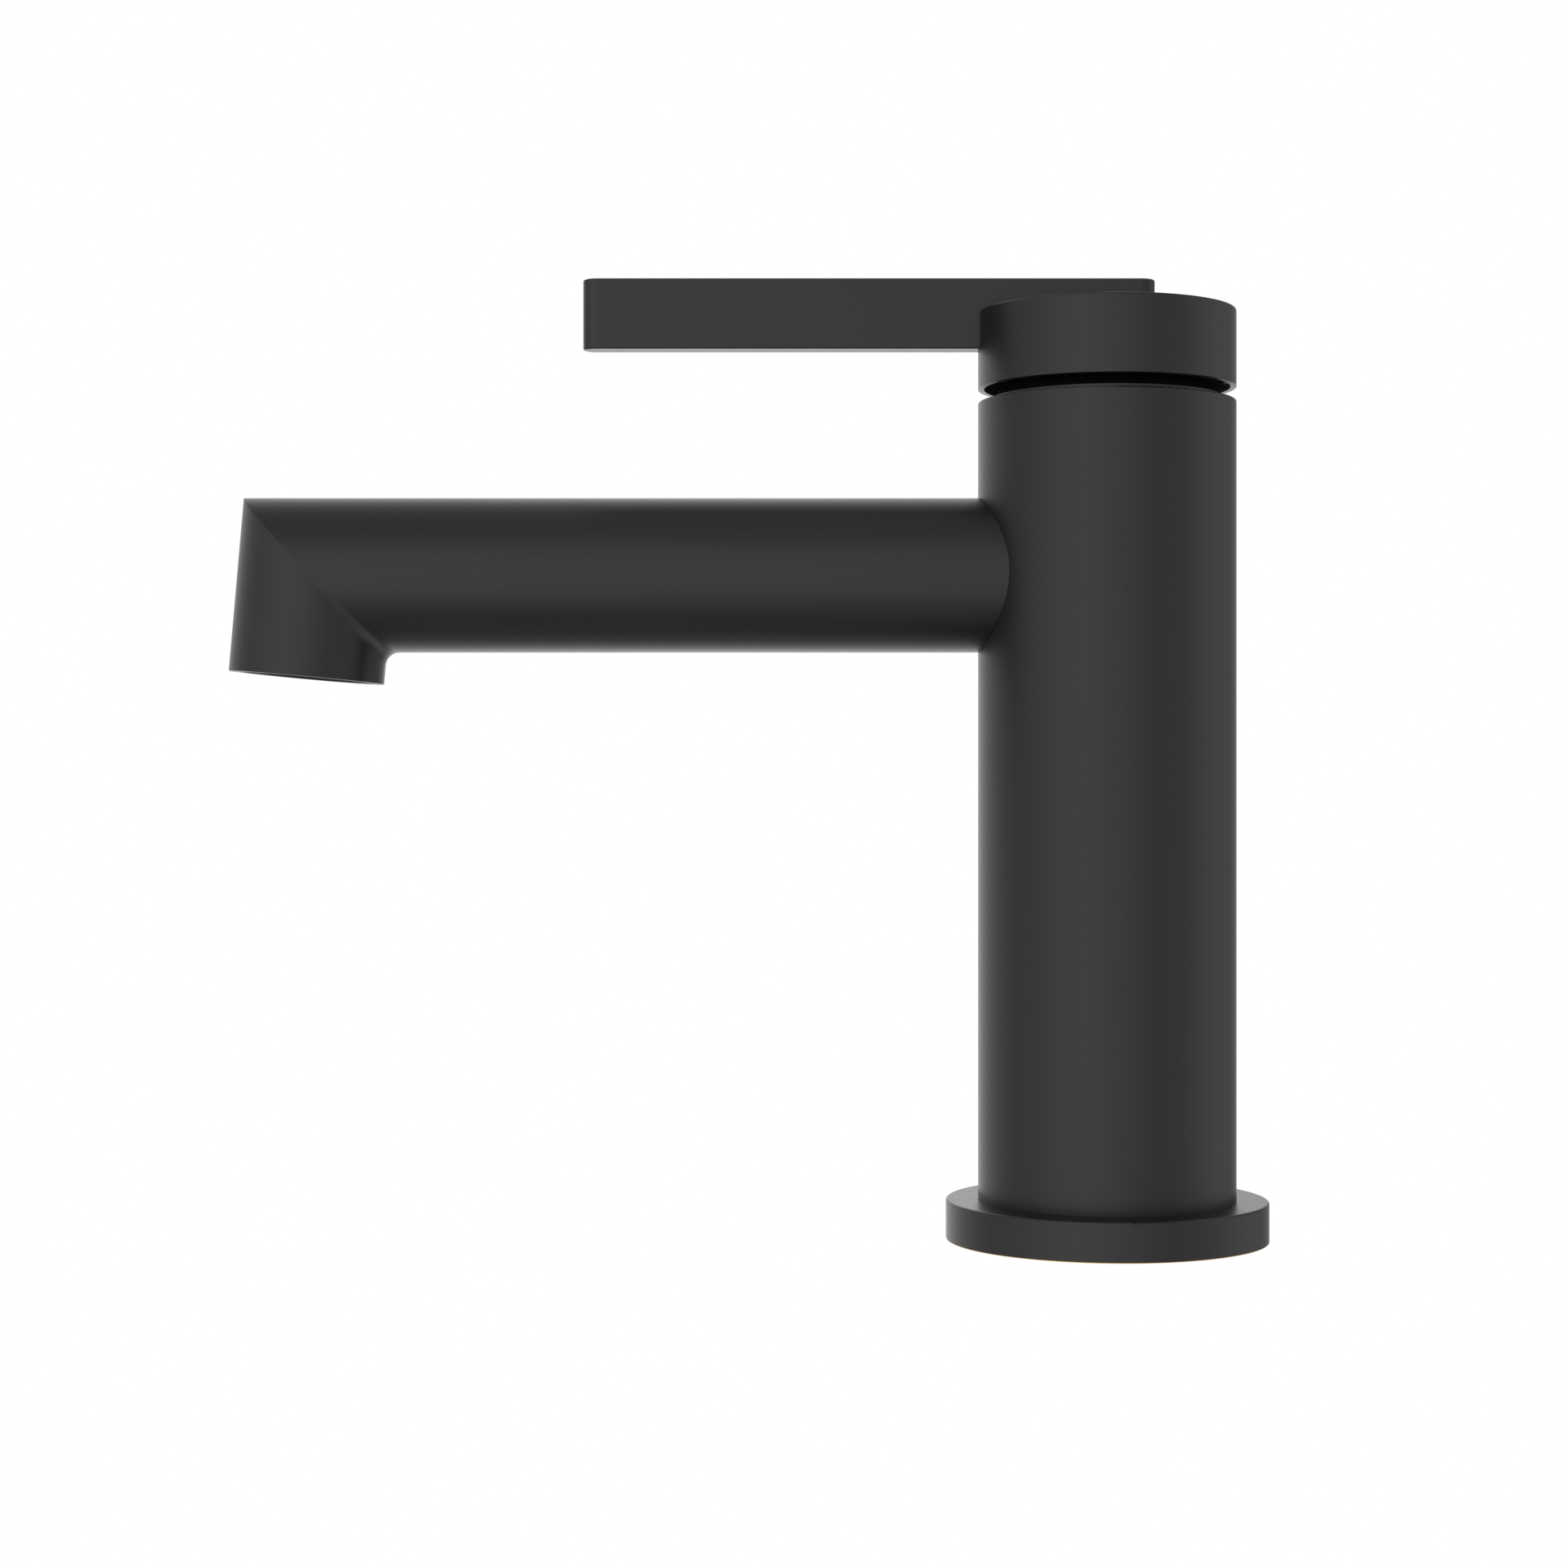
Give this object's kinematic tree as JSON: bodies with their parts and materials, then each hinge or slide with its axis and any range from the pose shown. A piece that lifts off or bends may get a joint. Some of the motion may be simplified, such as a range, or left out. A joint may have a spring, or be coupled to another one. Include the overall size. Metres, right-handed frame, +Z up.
{
  "type": "basin mixer faucet",
  "caption": "Single-lever bathroom mixer: round column on a base ring, straight mitred spout, cap-shaped knob with a flat lever blade, matt black.",
  "frame": {"origin": "centre of the base ring's underside, on the column's axis at deck level", "axes": "+Z up along the column; the spout and the lever point towards -X; +Y is the hot side, on the left of a person standing in front of the spout"},
  "size_m": [0.1817, 0.0562, 0.1678],
  "materials": {
    "matt_black_coating": "fine matt black coating on brass",
    "black_rubber": "moulded rubber",
    "turned_brass": "as turned",
    "stainless_steel": "as machined",
    "ivory_acetal": "moulded",
    "grey_acetal": "moulded",
    "red_acetal": "moulded",
    "alumina": "lapped",
    "black_plastic": "moulded"
  },
  "bodies": {
    "faucet_body": {"body_shell": "matt_black_coating", "base_ring": "matt_black_coating", "base_gasket": "black_rubber", "spout": "matt_black_coating", "spout_nipple": "turned_brass", "nipple_o_rings": "black_rubber", "cartridge_base": "ivory_acetal", "port_seals": "black_rubber", "disc_seals": "black_rubber", "fixed_disc": "alumina", "cartridge_housing": "ivory_acetal", "cartridge_o_ring": "black_rubber", "retaining_nut": "turned_brass", "dome_cover": "matt_black_coating", "dome_o_ring": "black_rubber", "aerator_cage": "black_plastic", "aerator_insert": "black_plastic", "aerator_washer": "black_rubber"},
    "turret": {"rotor": "grey_acetal", "stem_pin": "stainless_steel", "limit_ring": "red_acetal"},
    "handle": {"knob": "matt_black_coating", "lever_blade": "matt_black_coating", "blade_screws": "stainless_steel", "stem": "stainless_steel", "grub_screw": "stainless_steel", "grub_screw_plug": "black_plastic"},
    "disc_slide": {"disc_carrier": "grey_acetal", "moving_disc": "alumina"}
  },
  "joints": [
    {"name": "temperature_turn", "type": "hinge", "parent": "faucet_body", "child": "turret", "pos_m": [0, 0, 0.13], "axis": [0, 0, 1], "range_deg": [-50, 50]},
    {"name": "flow_lift", "type": "hinge", "parent": "turret", "child": "handle", "pos_m": [0, 0, 0.13], "axis": [0, 1, 0], "range_deg": [0, 20]},
    {"name": "disc_travel", "type": "slide", "parent": "turret", "child": "disc_slide", "axis": [-1, 0, 0], "range_m": [0, 0.0026]}
  ],
  "couplings": [
    {"joint": "disc_travel", "follows": "flow_lift", "m_per_rad": 0.0074}
  ]
}
